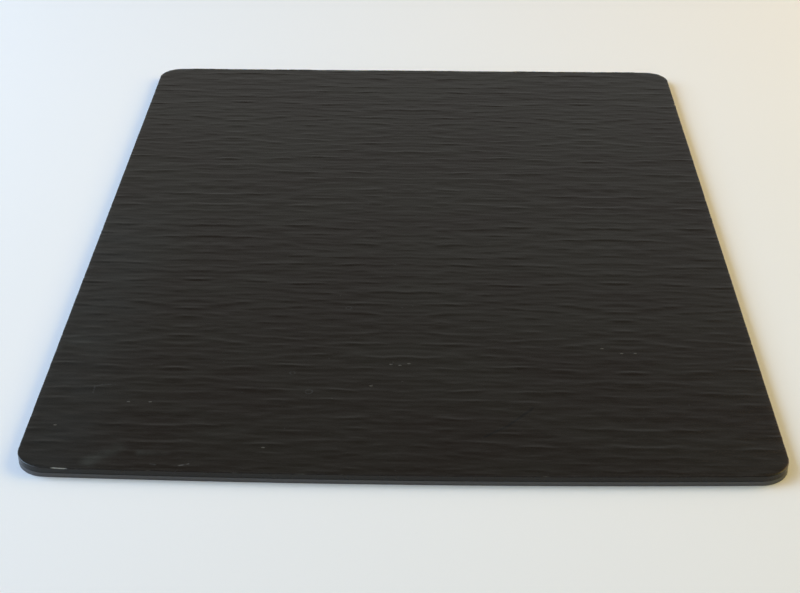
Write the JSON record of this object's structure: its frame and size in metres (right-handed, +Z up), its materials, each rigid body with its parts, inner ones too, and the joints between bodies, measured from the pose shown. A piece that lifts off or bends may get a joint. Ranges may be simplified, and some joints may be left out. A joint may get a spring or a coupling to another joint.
{
  "type": "granite slab",
  "caption": "Thin dark stone slab for leatherwork: a flat plate with rounded corners, bonded to a non-slip backing sheet.",
  "frame": {"origin": "middle of the underside, on the surface that the slab rests on", "axes": "+Z up through the thickness, +X across the slab along its grain, and +Y along its depth from the crowned front edge to the back edge"},
  "size_m": [0.3, 0.4, 0.0047],
  "materials": {
    "black_stone": "rippled satin",
    "adhesive": "matt",
    "grey_rubber": "matt"
  },
  "bodies": {
    "root": {"stone_plate": "black_stone", "adhesive_film": "adhesive", "backing_sheet": "grey_rubber"}
  },
  "joints": []
}
